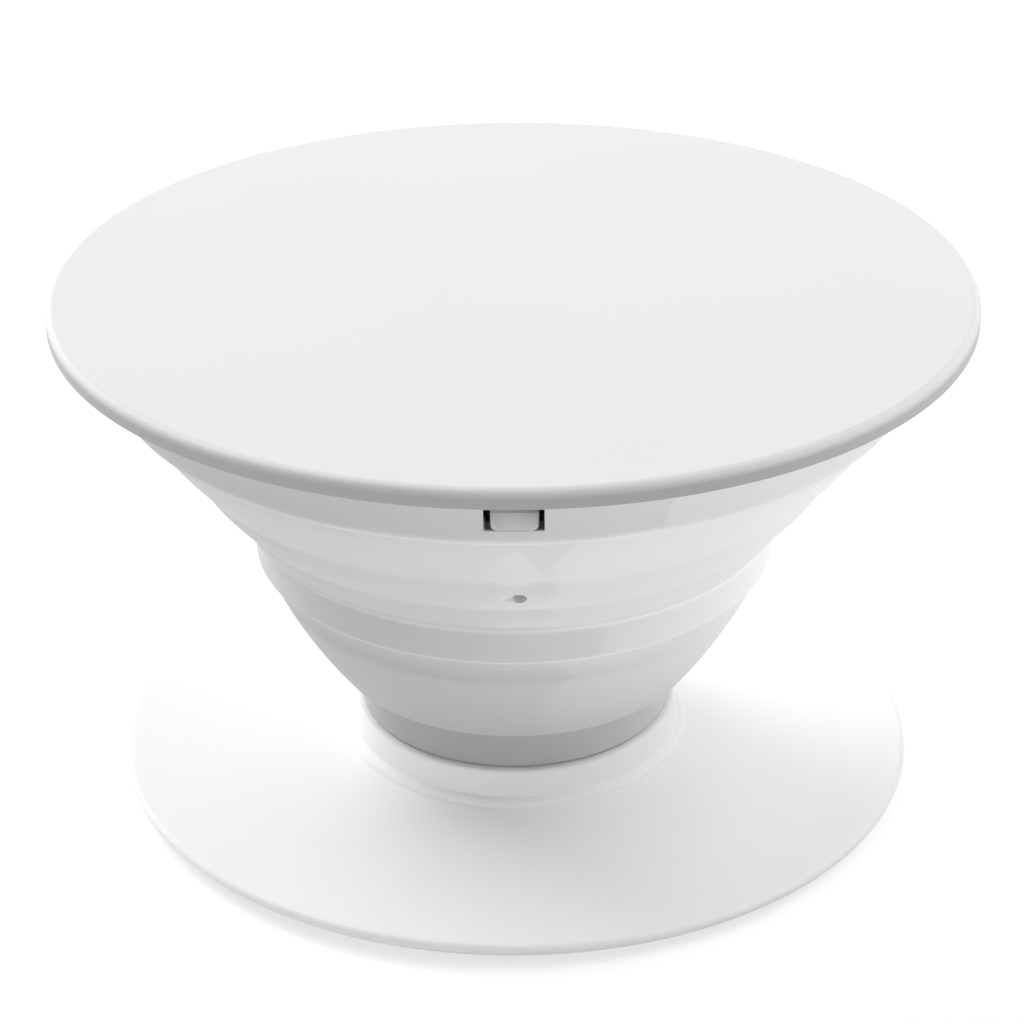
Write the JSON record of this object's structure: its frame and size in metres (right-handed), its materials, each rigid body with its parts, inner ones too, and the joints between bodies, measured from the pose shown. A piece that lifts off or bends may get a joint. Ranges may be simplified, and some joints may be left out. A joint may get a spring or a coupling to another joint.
{
  "type": "pop-out phone holder",
  "caption": "Stick-on phone grip and stand: a round top disc on a stepped collapsible bellows that turns in the collar of a thin round base plate.",
  "frame": {"origin": "middle of the adhesive pad's stick-on face, on the axis", "axes": "+Z along the axis from the adhesive towards the top disc; -Y is the side with the front window and the vent hole; shown extended"},
  "size_m": [0.0398, 0.0398, 0.023],
  "materials": {
    "disc_plastic": "smooth satin white moulded plastic",
    "bellows_rubber": "matt white soft elastomer",
    "base_plastic": "smooth satin white moulded plastic",
    "adhesive": "tacky translucent grey gel"
  },
  "bodies": {
    "base": {"base_plate": "base_plastic", "adhesive_pad": "adhesive"},
    "bellows_body": {"bellows": "bellows_rubber"},
    "disc": {"top_disc": "disc_plastic"}
  },
  "joints": [
    {"name": "swivel", "type": "hinge", "parent": "base", "child": "bellows_body", "pos_m": [0, 0, 0.0028], "axis": [0, 0, 1], "continuous": true},
    {"name": "collapse", "type": "slide", "parent": "bellows_body", "child": "disc", "axis": [0, 0, 1], "range_m": [-0.0157, 0], "deforming": ["bellows"]}
  ]
}
